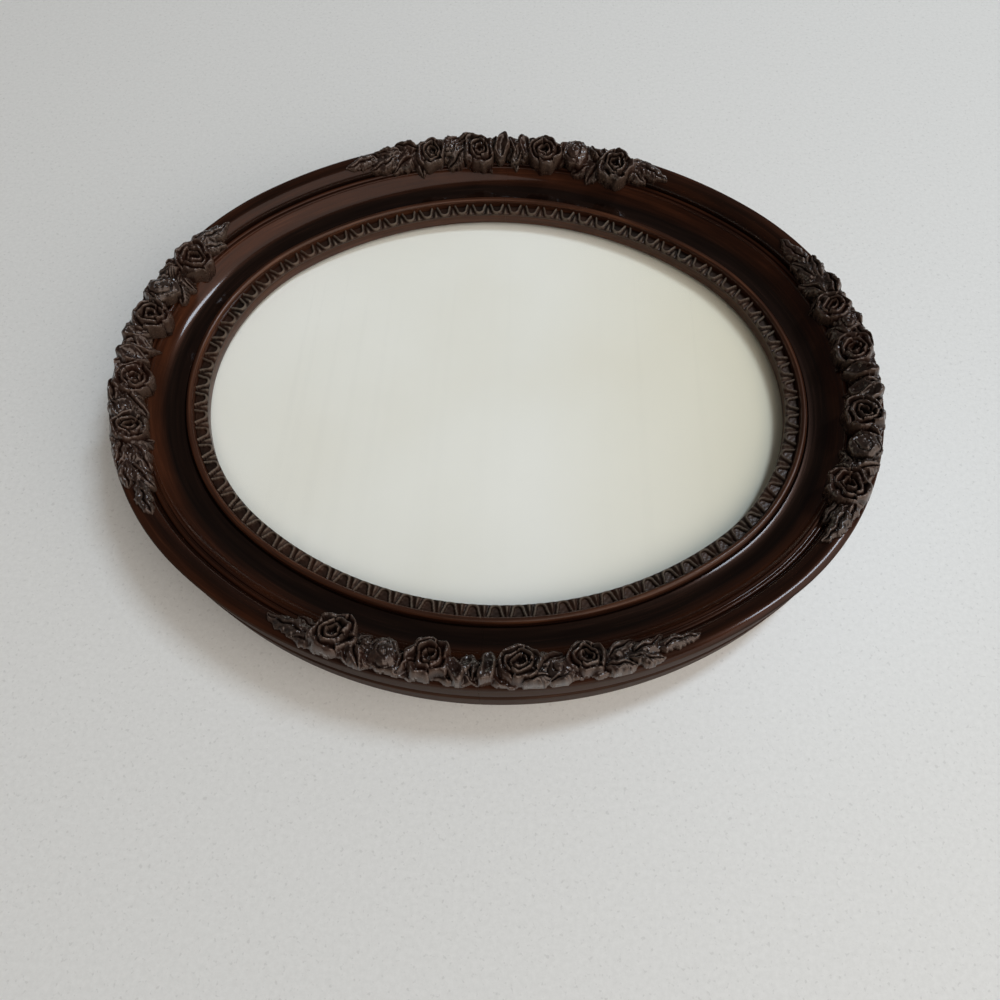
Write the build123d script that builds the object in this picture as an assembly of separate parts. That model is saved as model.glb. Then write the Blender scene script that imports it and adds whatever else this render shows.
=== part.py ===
from build123d import *

import math
import os

# Oval picture frame for an 8 by 10 inch picture, lying face up.
# Millimetres, +Z up, long axis along X, origin under the centre of the rim's foot.
# A reach is a distance outwards from the sight edge, square to the oval.

# Glazing
glass_length = 254.0
glass_width = 203.2
glass_thickness = 2.0
card_thickness = 1.5
backing_thickness = 3.0
glazing_gap = 0.5
sight_cover = 3.0

# Back of the moulding
foot_height = 4.0
foot_width = 9.8
side_shrink = 0.3

# Lamb's tongue run at the sight edge
tongue_pitch = 8.5
tongue_width = 6.6
tongue_wall = 1.2
tongue_relief = 1.3
strip_base = 0.9
strip_width = 5.3
strip_overhang = 0.8
strip_edge = 0.2
nose_share = 0.45
shoulder_share = 0.3
sight_depth = 7.5

# Inner slip that carries the run, with its bead
bead_width = 2.9
bead_rise = 2.4
bead_draft_share = 0.2
quirk_depth = 0.7
glue_gap = 0.1

# Front of the outer moulding, from the slip outwards
cove_width = 14.1
cove_rise = 7.9
cove_sag = 1.8
cove_flats = 3
astragal_width = 3.3
drop_slope = 1.1
ridge_rise = 3.8
band_width = 7.7
band_rise = 2.3
band_bulge = 1.0
band_flats = 2
side_groove_height = 13.0
side_groove_width = 3.6
side_groove_depth = 1.2

# Keys across the joints between the four moulding lengths
key_length = 20.0
key_width = 7.0
key_thickness = 2.5
key_gap = 0.1

# Rose garlands, cast and glued over the ridge
garland_run = 156.0
seat_gap = 0.1
bed_run = 136.0
bed_stretches = 8
bed_inset = 0.4
bed_height = 2.8
bed_foot = 3.4
bed_crest_share = 0.6
motif_base = 1.3
rose_diameter = 15.5
rose_height = 7.0
outer_petals = 6
inner_petals = 5
heart_petals = 3
inner_whorl_share = 0.7
heart_share = 0.42
outer_height_share = 0.6
inner_height_share = 0.84
leaf_length = 16.0
leaf_width = 8.5
leaf_height = 5.0
leaf_belly_share = 0.4
petal_length = 11.0
petal_width = 5.5
petal_height = 5.5

# Motifs of one casting, by kind: run from the middle as a share of half the garland,
# reach as a share from the fillet to the outer edge, size, and turn in degrees.
rose_shares = (
    (-0.68, 0.34, 1.0, 10),
    (-0.41, 0.46, 0.7, 40),
    (-0.22, 0.34, 1.0, 60),
    (0.48, 0.40, 0.86, 25),
)
leaf_shares = (
    (-0.80, 0.42, 1.0, 180),
    (0.27, 0.62, 1.1, 128),
    (0.18, 0.58, 0.9, -5),
    (0.60, 0.48, 1.0, 0),
    (0.74, 0.56, 0.9, 25),
)
petal_shares = (
    (-0.54, 0.50, 1.0, 90),
    (0.02, 0.80, 1.0, 92),
)

# Turn buttons and their screws
button_length = 20.0
button_width = 8.0
button_thickness = 1.0
button_hole_inset = 4.5
button_tip_flats = 4
hole_flats = 8
button_reach = 11.5
button_gap = 0.2
button_screw_diameter = 3.0
button_screw_length = 9.0
screw_head_share = 1.9
screw_dome_share = 0.42
screw_flats = 6
head_gap = 0.1
running_gap = 0.08

# Hangers
hanger_heading = 38.0
hanger_reach = 6.0
hanger_width = 10.0
hanger_length = 16.0
hanger_hole_inset = 6.0
hanger_thickness = 0.8
knuckle_flats = 8
hanger_screw_diameter = 3.0
hanger_screw_length = 9.0
ring_wire = 2.0
ring_inside_width = 12.0
ring_inside_length = 12.0
ring_leg_share = 0.5
ring_bow_share = 0.4
ring_flats = 6
bar_gap = 0.05

# Allowance past a face for cuts
overrun = 1.0

# Heights above the table
ledge_z = foot_height
card_z = ledge_z + backing_thickness
glass_z = card_z + card_thickness
lip_z = glass_z + glass_thickness
tongue_z = lip_z + sight_depth
strip_z = tongue_z - tongue_relief - strip_base
bead_z = tongue_z + bead_rise
quirk_z = tongue_z - quirk_depth

# Reaches across the front
glass_reach = sight_cover
rabbet_reach = glass_reach + glazing_gap
shoulder_reach = strip_width + glue_gap
slip_reach = shoulder_reach + bead_width
cove_reach = slip_reach + glue_gap
fillet_reach = cove_reach + cove_width
astragal_z = quirk_z + cove_rise
astragal_end = fillet_reach + astragal_width
ridge_reach = astragal_end + drop_slope
ridge_z = astragal_z + ridge_rise
edge_reach = ridge_reach + band_width
edge_z = ridge_z + band_rise
foot_reach = edge_reach - side_shrink

# The sight oval, drawn with four arcs that meet square to the line between its ends
sight_a = glass_length / 2 - sight_cover
sight_b = glass_width / 2 - sight_cover
end_line = math.hypot(sight_a, sight_b)
end_radius = end_line * (end_line - sight_a + sight_b) / (2 * sight_a)
side_radius = end_line * (end_line + sight_a - sight_b) / (2 * sight_b)
end_centre = sight_a - end_radius
side_centre = side_radius - sight_b
arc_joint = math.degrees(math.atan2(sight_a, sight_b))


def arc_at(heading):
    """Centre and sight radius of the arc that faces outwards at a heading in degrees."""
    nx, ny = facing(heading)
    if abs(ny) * sight_b < abs(nx) * sight_a:
        return (math.copysign(end_centre, nx), 0), end_radius
    return (0, -math.copysign(side_centre, ny)), side_radius


def facing(heading):
    """Unit vector of a heading in degrees from +X."""
    return math.cos(math.radians(heading)), math.sin(math.radians(heading))


def oval_point(heading, reach):
    """Plan position that faces a heading, at a reach from the sight edge."""
    (x, y), radius = arc_at(heading)
    nx, ny = facing(heading)
    return x + (radius + reach) * nx, y + (radius + reach) * ny


def heading_after(heading, run, reach, steps=60):
    """Heading after a run of arc length at a reach, from a first heading."""
    for _ in range(steps):
        heading += math.degrees(run / steps / (arc_at(heading)[1] + reach))
    return heading


def oval_location(heading, reach, height):
    """Location on the oval with X outwards, Y along the moulding and Z up."""
    x, y = oval_point(heading, reach)
    return Pos(x, y, height) * Rot(0, 0, heading)


def run_section(section, start, end):
    """Turns a section of reach and height round the oval between two headings."""
    joints = [half * 180 + side * arc_joint for half in range(-1, 4) for side in (-1, 1)]
    stops = [start] + sorted(joint for joint in joints if start < joint < end) + [end]
    lengths = []
    for first, last in zip(stops, stops[1:]):
        (x, y), radius = arc_at((first + last) / 2)
        nx, ny = facing(first)
        upright = Plane(origin=(x, y, 0), x_dir=(nx, ny, 0), z_dir=(ny, -nx, 0))
        profile = upright * Pos(radius, 0) * section
        upright_axis = Axis((x, y, 0), (0, 0, 1))
        lengths.append(revolve(profile, axis=upright_axis, revolution_arc=last - first))
    return lengths[0].fuse(*lengths[1:])


def four_ways(first_quarter):
    """The first quarter and its mirror images, in turn round the oval."""
    second_quarter = mirror(first_quarter, about=Plane.YZ)
    third_quarter = mirror(second_quarter, about=Plane.XZ)
    return [first_quarter, second_quarter, third_quarter, mirror(first_quarter, about=Plane.XZ)]


def bowed_points(start, end, sag, flats):
    """Points on a shallow bow between two points, standing out by the sag to the left of the way."""
    run_x, run_y = end[0] - start[0], end[1] - start[1]
    chord = math.hypot(run_x, run_y)
    points = []
    for index in range(flats + 1):
        share = index / flats
        bow = 4 * sag * share * (1 - share) / chord
        points.append((start[0] + run_x * share - run_y * bow, start[1] + run_y * share + run_x * bow))
    return points


def moulding_section():
    """Section of the outer moulding: rabbet, cove, astragal, ridge, band, grooved side and foot."""
    groove_top = side_groove_height + side_groove_width
    inner = [(foot_reach - foot_width, 0), (foot_reach - foot_width, ledge_z), (rabbet_reach, ledge_z)]
    inner += [(rabbet_reach, lip_z), (cove_reach, lip_z)]
    cove = bowed_points((cove_reach, quirk_z), (fillet_reach, astragal_z), -cove_sag, cove_flats)
    band = bowed_points((ridge_reach, ridge_z), (edge_reach, edge_z), band_bulge, band_flats)
    side = [(edge_reach, groove_top), (edge_reach - side_groove_depth, side_groove_height)]
    front = [*cove, (astragal_end, astragal_z), *band]
    return make_face(Polyline(*inner, *front, *side, (foot_reach, 0), close=True))


def slip_section():
    """Section of the inner slip: sight wall, seat for the tongue run, and bead."""
    draft = bead_width * bead_draft_share
    wall = [(slip_reach, lip_z), (strip_overhang, lip_z), (strip_overhang, strip_z)]
    bead = [(shoulder_reach, strip_z), (shoulder_reach + draft, bead_z), (slip_reach - draft, bead_z)]
    return make_face(Polyline(*wall, *bead, close=True))


def strip_section():
    """Section of the base that the tongues stand on."""
    return Pos(strip_width / 2, strip_z + strip_base / 2) * Rectangle(strip_width, strip_base)


def tongue():
    """One lamb's tongue: a raised arch, closed end to the sight edge, open behind."""
    half = tongue_width / 2
    near = strip_edge
    far = strip_width - strip_edge
    shoulder = near + strip_width * shoulder_share
    arch = Polyline(
        (far, -half),
        (shoulder, -half),
        (near, -half * nose_share),
        (near, half * nose_share),
        (shoulder, half),
        (far, half),
        (near + tongue_wall, 0),
        close=True,
    )
    return extrude(Pos(0, 0, -strip_base / 2) * make_face(arch), amount=strip_base / 2 + tongue_relief)


def tongue_strip():
    """One quarter of the run, with a whole number of tongues."""
    middle = strip_width / 2
    end_run = (end_radius + middle) * math.radians(arc_joint)
    side_run = (side_radius + middle) * math.radians(90 - arc_joint)
    count = round((end_run + side_run) / tongue_pitch)
    pads = []
    for index in range(count):
        heading = heading_after(0, (index + 0.5) * (end_run + side_run) / count, middle)
        pads.append(oval_location(heading, 0, strip_z + strip_base) * tongue())
    return run_section(strip_section(), 0, 90).fuse(*pads)


def joint_key(clearance):
    """Flat key across the joint at the +X end, grown by the clearance on every face."""
    reach = edge_reach - side_groove_depth - key_width
    middle_z = (ledge_z + ridge_z) / 2
    return Pos(sight_a + reach, 0, middle_z) * Box(
        key_width + 2 * clearance, key_length + 2 * clearance, key_thickness + 2 * clearance
    )


def joint_keys(clearance):
    """The four keys, at the ends and the middles of the long sides."""
    end_key = joint_key(clearance)
    side_key = Pos(-sight_a, 0, 0) * end_key
    side_key = Pos(0, sight_b, 0) * Rot(0, 0, 90) * side_key
    return [end_key, side_key, mirror(end_key, about=Plane.YZ), mirror(side_key, about=Plane.XZ)]


def oval_plate(reach, low_z, thickness):
    """Flat oval plate out to a reach."""
    side_turn = 90 - arc_joint
    outline = Curve()
    for heading, half_turn in ((0, arc_joint), (90, side_turn), (180, arc_joint), (270, side_turn)):
        (x, y), radius = arc_at(heading)
        outline += CenterArc((x, y, 0), radius + reach, heading - half_turn, 2 * half_turn)
    return Pos(0, 0, low_z) * extrude(make_face(outline), amount=thickness)


def screw(diameter, length):
    """Wood screw, head down, with the underside of its head at height zero."""
    head_outline = RegularPolygon(diameter / 2 * screw_head_share, screw_flats)
    head = extrude(head_outline, amount=-diameter * screw_dome_share)
    return head + extrude(RegularPolygon(diameter / 2, screw_flats), amount=length)


def screw_hole(diameter, length):
    """Pilot hole for a screw, from the ledge upwards."""
    outline = RegularPolygon(diameter / 2 + running_gap, screw_flats)
    return Pos(0, 0, -overrun) * extrude(outline, amount=length + 2 * overrun)


def turn_button():
    """Flat strip on its hole's axis, square at its tail, with its round tip towards -X."""
    half = button_width / 2
    tail = button_hole_inset
    tip = tail - button_length + half
    outline = [(tail, half)]
    for index in range(button_tip_flats + 1):
        turn = math.radians(90 + 180 * index / button_tip_flats)
        outline.append((tip + half * math.cos(turn), half * math.sin(turn)))
    outline.append((tail, -half))
    hole = RegularPolygon(button_screw_diameter / 2 + running_gap, hole_flats, major_radius=False)
    return extrude(make_face(Polyline(*outline, close=True)) - hole, amount=button_thickness)


def button_headings():
    """Headings of the turn buttons, where the arcs of the oval meet."""
    return (arc_joint, 180 - arc_joint, 180 + arc_joint, 360 - arc_joint)


def hanger_plate():
    """Strap with a rolled knuckle for the ring's bar, its flat face up at height zero."""
    knuckle_bore = ring_wire / 2 + bar_gap
    knuckle_radius = knuckle_bore + hanger_thickness
    strap = Pos(hanger_length / 2, -hanger_thickness / 2) * Rectangle(hanger_length, hanger_thickness)
    knuckle = Pos(0, -knuckle_radius) * RegularPolygon(
        knuckle_radius, knuckle_flats, major_radius=False, rotation=180 / knuckle_flats
    )
    bore = Pos(0, -knuckle_radius) * RegularPolygon(knuckle_bore, knuckle_flats, major_radius=False)
    rolled = extrude(Plane.XZ * (strap + knuckle - bore), amount=hanger_width / 2, both=True)
    outline = RegularPolygon(hanger_screw_diameter / 2 + running_gap, hole_flats, major_radius=False)
    hole = extrude(outline, amount=hanger_thickness + overrun, both=True)
    return rolled - Pos(hanger_length - hanger_hole_inset, 0, 0) * hole


def hanger_ring():
    """D ring of wire, its round bar along Y through the origin and its bow towards -X."""
    radius = ring_wire / 2
    half_width = ring_inside_width / 2 + radius
    depth = ring_inside_length + ring_wire
    bar = Rot(90, 0, 0) * extrude(RegularPolygon(radius, ring_flats), amount=half_width, both=True)
    bow_path = Polyline(
        (0, -half_width),
        (-depth * ring_leg_share, -half_width),
        (-depth, -half_width * ring_bow_share),
        (-depth, half_width * ring_bow_share),
        (-depth * ring_leg_share, half_width),
        (0, half_width),
    )
    section = Plane(origin=(0, -half_width, 0), z_dir=(-1, 0, 0)) * RegularPolygon(radius, ring_flats)
    return bar + sweep(section, path=bow_path, transition=Transition.RIGHT)


def rose(size_share):
    """Rose head of two whorls, turned against each other, round a budded heart."""
    radius = rose_diameter / 2 * size_share
    height = rose_height * size_share
    outer = extrude(RegularPolygon(radius, outer_petals), amount=height * outer_height_share)
    inner_outline = RegularPolygon(radius * inner_whorl_share, inner_petals)
    inner = extrude(inner_outline, amount=height * inner_height_share)
    heart = extrude(RegularPolygon(radius * heart_share, heart_petals), amount=height)
    return outer + inner + heart


def leaf(length, width, height):
    """Pointed leaf along Y from its stalk at the origin, with a raised midrib."""
    belly = length * leaf_belly_share
    outline = Polyline((0, 0), (width / 2, belly), (0, length), (-width / 2, belly), close=True)
    blade = extrude(make_face(outline), amount=height)
    gable = make_face(Polyline((-width, 0), (0, height), (width, 0), close=True))
    return blade & extrude(Plane.XZ * gable, amount=-length)


def band_height(reach):
    """Height over the table of the straight line across the band, carried on inwards."""
    return ridge_z + (reach - ridge_reach) * band_rise / band_width


def motif_location(centre_heading, run_share, reach_share, turn):
    """Place of a motif on a garland, lying over the band and turned in it."""
    reach = fillet_reach + reach_share * (edge_reach - fillet_reach)
    heading = heading_after(centre_heading, run_share * garland_run / 2, ridge_reach)
    lean = math.degrees(math.atan2(band_rise, band_width))
    place = oval_location(heading, reach, band_height(reach)) * Rot(0, -lean, 0)
    return place * Pos(0, 0, motif_base) * Rot(0, 0, turn)


def garland_bed(centre_heading):
    """Bed of a casting, in short straight stretches over the astragal, the ridge and the band."""
    points = []
    for index in range(bed_stretches + 1):
        run = (index / bed_stretches - 0.5) * bed_run
        points.append(oval_point(heading_after(centre_heading, run, ridge_reach), ridge_reach))
    crest_reach = ridge_reach + band_width * bed_crest_share
    crown = bowed_points((ridge_reach, ridge_z), (edge_reach, edge_z), band_bulge, band_flats)
    section = [(fillet_reach + bed_inset, astragal_z), (astragal_end - seat_gap, astragal_z)] + crown
    section = [(reach - ridge_reach, height + seat_gap) for reach, height in section]
    section.append((crest_reach - ridge_reach, band_height(crest_reach) + bed_height))
    section.append((fillet_reach + bed_inset - ridge_reach, astragal_z + bed_foot))
    (x, y), (next_x, next_y) = points[:2]
    back_x, back_y = x - next_x, y - next_y
    upright = Plane(origin=(x, y, 0), x_dir=(-back_y, back_x, 0), z_dir=(back_x, back_y, 0))
    outline = upright * make_face(Polyline(*section, close=True))
    return sweep(outline, path=Polyline(*points), transition=Transition.RIGHT)


def garland(centre_heading):
    """One casting of roses, leaves and petals on its bed."""
    motifs = []
    for run_share, reach_share, size_share, turn in rose_shares:
        motifs.append(motif_location(centre_heading, run_share, reach_share, turn) * rose(size_share))
    for run_share, reach_share, size_share, turn in leaf_shares:
        blade = leaf(leaf_length * size_share, leaf_width * size_share, leaf_height)
        motifs.append(motif_location(centre_heading, run_share, reach_share, turn) * blade)
    for run_share, reach_share, size_share, turn in petal_shares:
        petal = leaf(petal_length * size_share, petal_width * size_share, petal_height)
        motifs.append(motif_location(centre_heading, run_share, reach_share, turn) * petal)
    return garland_bed(centre_heading).fuse(*motifs)


def moulding_lengths():
    """The four lengths of the outer moulding, slotted for the keys that join them."""
    slots = joint_keys(key_gap)
    holes = [place * screw_hole(button_screw_diameter, button_screw_length) for place in button_places()]
    holes += [place * hanger_hole() for place in hanger_places()]
    return [length.cut(*slots, *holes) for length in four_ways(run_section(moulding_section(), 0, 90))]


def button_places():
    """Places of the button screws' axes on the ledge, with X outwards."""
    return [oval_location(heading, button_reach, ledge_z) for heading in button_headings()]


def hanger_places():
    """Places of the hangers on the ledge, with X outwards, on the upper left and right."""
    headings = (hanger_heading, 180 - hanger_heading)
    return [oval_location(heading, hanger_reach, ledge_z) for heading in headings]


def hanger_hole():
    """Pilot hole for a hanger's screw."""
    hole = screw_hole(hanger_screw_diameter, hanger_screw_length)
    return Pos(hanger_length - hanger_hole_inset, 0, 0) * hole


def save(name, *shapes):
    """Writes one node, as one solid or as a group of separate solids."""
    shape = shapes[0] if len(shapes) == 1 else Compound(children=list(shapes))
    export_step(shape, f"parts/{name}.step")


def build():
    """Makes every piece of the frame and writes it as its own file."""
    os.makedirs("parts", exist_ok=True)

    save("moulding_lengths", *moulding_lengths())
    save("slip_lengths", *four_ways(run_section(slip_section(), 0, 90)))
    save("tongue_runs", *four_ways(tongue_strip()))
    save("joint_keys", *joint_keys(0))

    for name, centre_heading in (("right", 0), ("top", 90), ("left", 180), ("bottom", 270)):
        save(f"garland_{name}", garland(centre_heading))

    save("glass_pane", oval_plate(glass_reach, glass_z, glass_thickness))
    save("ivory_card", oval_plate(glass_reach, card_z, card_thickness))
    save("backing_board", oval_plate(glass_reach, ledge_z, backing_thickness))

    button_drop = button_gap + button_thickness
    for index, place in enumerate(button_places(), start=1):
        save(f"turn_button_{index}", place * Pos(0, 0, -button_drop) * turn_button())
    head_drop = Pos(0, 0, -button_drop - head_gap)
    button_screw = screw(button_screw_diameter, button_screw_length)
    save("button_screws", *[place * head_drop * button_screw for place in button_places()])

    knuckle_drop = ring_wire / 2 + bar_gap + hanger_thickness
    screw_seat = Pos(hanger_length - hanger_hole_inset, 0, -hanger_thickness - head_gap)
    hanger_screw = screw(hanger_screw_diameter, hanger_screw_length)
    for side, place in zip(("right", "left"), hanger_places()):
        save(f"hanger_plate_{side}", place * hanger_plate())
        save(f"hanger_ring_{side}", place * Pos(0, 0, -knuckle_drop) * hanger_ring())
    save("hanger_screws", *[place * screw_seat * hanger_screw for place in hanger_places()])


build()
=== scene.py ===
import math

import bmesh
import bpy
import numpy as np
from mathutils import Matrix, Vector


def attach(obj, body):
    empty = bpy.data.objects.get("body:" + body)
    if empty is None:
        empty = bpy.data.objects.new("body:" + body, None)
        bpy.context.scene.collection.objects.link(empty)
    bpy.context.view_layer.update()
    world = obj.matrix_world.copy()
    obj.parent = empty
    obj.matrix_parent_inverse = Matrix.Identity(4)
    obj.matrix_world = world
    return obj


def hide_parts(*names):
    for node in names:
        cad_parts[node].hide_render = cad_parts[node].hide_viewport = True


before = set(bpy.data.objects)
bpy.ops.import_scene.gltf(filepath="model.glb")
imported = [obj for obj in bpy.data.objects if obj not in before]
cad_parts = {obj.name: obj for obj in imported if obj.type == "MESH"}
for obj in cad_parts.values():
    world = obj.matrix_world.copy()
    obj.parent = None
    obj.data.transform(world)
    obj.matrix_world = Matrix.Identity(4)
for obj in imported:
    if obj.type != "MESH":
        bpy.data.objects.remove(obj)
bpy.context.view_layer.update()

# Lengths are written in millimetres and become metres with this factor
MM = 0.001

# The sight oval, drawn with four arcs that meet square to the line between its ends
SIGHT_A = 124.0
SIGHT_B = 98.6
END_LINE = math.hypot(SIGHT_A, SIGHT_B)
END_RADIUS = END_LINE * (END_LINE - SIGHT_A + SIGHT_B) / (2 * SIGHT_A)
SIDE_RADIUS = END_LINE * (END_LINE + SIGHT_A - SIGHT_B) / (2 * SIGHT_B)
END_CENTRE = SIGHT_A - END_RADIUS
SIDE_CENTRE = SIDE_RADIUS - SIGHT_B
ARC_JOINT = math.degrees(math.atan2(SIGHT_A, SIGHT_B))

# Heights of the section, and reaches outwards from the sight edge, as the solids have them
LEDGE_Z = 4.0
LIP_Z = 10.5
STRIP_Z = 15.8
QUIRK_Z = 17.3
RIDGE_Z = 29.0
EDGE_Z = 31.3
STRIP_WIDTH = 5.3
SLIP_REACH = 8.3
COVE_REACH = 8.4
ASTRAGAL_END = 25.8
RIDGE_REACH = 26.9
EDGE_REACH = 34.6
BAND_LEAN = math.atan2(EDGE_Z - RIDGE_Z, EDGE_REACH - RIDGE_REACH)

TONGUES_PER_QUARTER = 21

# Gap between a length of wood and its joint, in degrees, and about how long its straight stretches are
JOINT_GAP = 0.012
SPUN_STRETCH = 2.0

# Angles in degrees from which an edge stays sharp
WOOD_CREASE = 32
TONGUE_CREASE = 50
CASTING_CREASE = 60
PLATE_CREASE = 35
WIRE_CREASE = 50
SCREW_CREASE = 30

# Distances under which the vertices of a seam are one: of a bent sheet in metres, of hardware in millimetres
SHEET_SEAM = 0.01 * MM
HARDWARE_SEAM = 0.001


# Oval geometry

def facing(heading):
    """Unit vector of a heading in degrees from +X."""
    return math.cos(math.radians(heading)), math.sin(math.radians(heading))


def arc_at(heading):
    """Centre and sight radius of the arc that faces a heading, in millimetres."""
    nx, ny = facing(heading)
    if abs(ny) * SIGHT_B < abs(nx) * SIGHT_A:
        return (math.copysign(END_CENTRE, nx), 0.0), END_RADIUS
    return (0.0, -math.copysign(SIDE_CENTRE, ny)), SIDE_RADIUS


def oval_point(heading, reach, height):
    """Place that faces a heading, in metres."""
    (x, y), radius = arc_at(heading)
    nx, ny = facing(heading)
    return Vector((x + (radius + reach) * nx, y + (radius + reach) * ny, height)) * MM


def quarter_run(reach):
    """Arc length of one quarter of the oval at a reach, in millimetres."""
    end_run = (END_RADIUS + reach) * math.radians(ARC_JOINT)
    return end_run + (SIDE_RADIUS + reach) * math.radians(90 - ARC_JOINT)


def heading_table(reach):
    """Headings round the oval and the runs to them at a reach, for reading one from the other."""
    first, last, per_degree = -180, 540, 20
    headings = np.linspace(first, last, (last - first) * per_degree + 1)
    turns = np.radians(headings)
    at_end = np.abs(np.sin(turns)) * SIGHT_B < np.abs(np.cos(turns)) * SIGHT_A
    radii = np.where(at_end, END_RADIUS, SIDE_RADIUS) + reach
    runs = np.concatenate(([0.0], np.cumsum((radii[1:] + radii[:-1]) / 2 * np.diff(turns))))
    return headings, runs


def oval_places(headings, reaches, heights):
    """Places, in metres, for arrays of headings, reaches and heights."""
    turns = np.radians(headings)
    nx, ny = np.cos(turns), np.sin(turns)
    at_end = np.abs(ny) * SIGHT_B < np.abs(nx) * SIGHT_A
    radii = np.where(at_end, END_RADIUS, SIDE_RADIUS) + reaches
    x = np.where(at_end, np.sign(nx) * END_CENTRE, 0.0) + radii * nx
    y = np.where(at_end, 0.0, -np.sign(ny) * SIDE_CENTRE) + radii * ny
    return np.column_stack((x, y, heights)) * MM


def spin_round(bm, ring, start, end):
    """Spins a standing section round the oval from one heading to another; returns its last ring."""
    joints = [half * 180 + side * ARC_JOINT for half in range(-1, 4) for side in (-1, 1)]
    stops = [start] + sorted(joint for joint in joints if start < joint < end) + [end]
    for first, last in zip(stops, stops[1:]):
        (x, y), radius = arc_at((first + last) / 2)
        turn = math.radians(last - first)
        steps = max(2, round(turn * (radius + RIDGE_REACH) / SPUN_STRETCH))
        spun = bmesh.ops.spin(bm, geom=ring, cent=(x * MM, y * MM, 0), axis=(0, 0, 1), dvec=(0, 0, 0),
                              angle=turn, steps=steps, use_merge=False, use_normal_flip=False,
                              use_duplicate=False)
        ring = [part for part in spun["geom_last"] if not isinstance(part, bmesh.types.BMFace)]
    return ring


def only(kind, parts):
    """The parts of one kind."""
    return [part for part in parts if isinstance(part, kind)]


def standing_section(bm, points, heading):
    """Vertices and edges of a closed section of reach and height, standing at a heading."""
    across = bm.verts.layers.float.new("across")
    verts = []
    length = 0.0
    for index, (reach, height) in enumerate(points):
        vert = bm.verts.new(oval_point(heading, reach, height))
        length += math.dist(points[index - 1], points[index]) if index else 0.0
        vert[across] = length
        verts.append(vert)
    return verts + [bm.edges.new(pair) for pair in zip(verts, verts[1:] + verts[:1])]


def finished(bm, name, sharp_angle):
    """Makes a scene object of a bmesh, smooth but for its sharp edges."""
    bmesh.ops.recalc_face_normals(bm, faces=bm.faces)
    for face in bm.faces:
        face.smooth = True
    mesh = bpy.data.meshes.new(name)
    bm.to_mesh(mesh)
    bm.free()
    mesh.set_sharp_from_angle(angle=math.radians(sharp_angle))
    piece = bpy.data.objects.new(name, mesh)
    bpy.context.scene.collection.objects.link(piece)
    return piece


def vertex_places(mesh):
    """Places of a mesh's vertices, as an array."""
    places = np.zeros(len(mesh.vertices) * 3)
    mesh.vertices.foreach_get("co", places)
    return places.reshape(-1, 3)


def paint(piece, name, values):
    """Keeps one number per vertex under a name, for the piece's material."""
    layer = piece.data.attributes.new(name, "FLOAT", "POINT")
    layer.data.foreach_set("value", np.asarray(values, dtype=np.float32))


# Section curves

def curve_between(start, end, bow, count):
    """Points after the start on a shallow bow to the end; the bow stands out to the left of the way."""
    run_x, run_y = end[0] - start[0], end[1] - start[1]
    chord = math.hypot(run_x, run_y)
    points = []
    for index in range(1, count + 1):
        share = index / count
        rise = 4 * bow * share * (1 - share) / chord
        points.append((start[0] + run_x * share - run_y * rise, start[1] + run_y * share + run_x * rise))
    return points


def round_over(centre, radius, start, end, count):
    """Points on an arc of a section, by its centre, its two radii and its first and last turn in degrees."""
    points = []
    for index in range(count + 1):
        turn = math.radians(start + (end - start) * index / count)
        points.append((centre[0] + radius[0] * math.cos(turn), centre[1] + radius[1] * math.sin(turn)))
    return points


def moulding_profile():
    """Closed section of the outer moulding, from the foot's inner corner round the front to the foot."""
    rabbet = [(24.5, 0.3), (24.5, LEDGE_Z), (3.5, LEDGE_Z), (3.5, LIP_Z), (COVE_REACH, LIP_Z)]
    quirk = [(COVE_REACH, 16.9), (8.9, 17.1), (9.2, 17.5), (9.3, 17.9)]
    cove = curve_between((9.3, 17.9), (22.1, 24.2), -1.9, 26)
    fillet = [(22.25, 24.75), (22.5, 24.95), (23.1, 25.0), (23.3, 24.8), (23.4, 24.45), (23.7, 24.4)]
    astragal = round_over((24.75, 24.6), (0.9, 0.85), 190, 20, 9) + [(25.85, 24.75)]
    ridge = curve_between((25.85, 24.75), (26.75, 28.6), 0.35, 6) + [(26.95, 28.9), (27.3, 29.15)]
    band = curve_between((27.3, 29.15), (33.9, 31.15), 0.9, 16)
    edge = round_over((33.85, 30.45), (0.75, 0.7), 80, 0, 5) + [(34.55, 30.1), (34.1, 29.8), (34.05, 29.3)]
    side = [(34.3, 28.9)] + curve_between((34.3, 28.9), (34.35, 17.7), 0.15, 6)
    groove = [(34.1, 17.2), (33.5, 16.7), (33.2, 15.9), (33.2, 14.6), (33.5, 13.7), (34.2, 13.3)]
    foot = [(34.55, 12.9), (34.55, 12.0), (34.3, 0.7), (34.1, 0.2), (33.6, 0.0), (24.9, 0.0)]
    return rabbet + quirk + cove + fillet + astragal + ridge + band + edge + side + groove + foot


def slip_profile():
    """Closed section of the inner slip, from its outer foot round under the tongues to its bead."""
    foot = [(SLIP_REACH, LIP_Z + 0.05), (0.85, LIP_Z + 0.05), (0.8, LIP_Z + 0.3), (0.8, 15.5)]
    seat = [(0.9, STRIP_Z), (5.4, STRIP_Z), (5.4, 18.3)]
    bead = round_over((6.85, 18.75), (1.43, 1.6), 195, -15, 14)
    return foot + seat + bead + [(SLIP_REACH, 17.9)]


# Pieces that follow the oval

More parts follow.
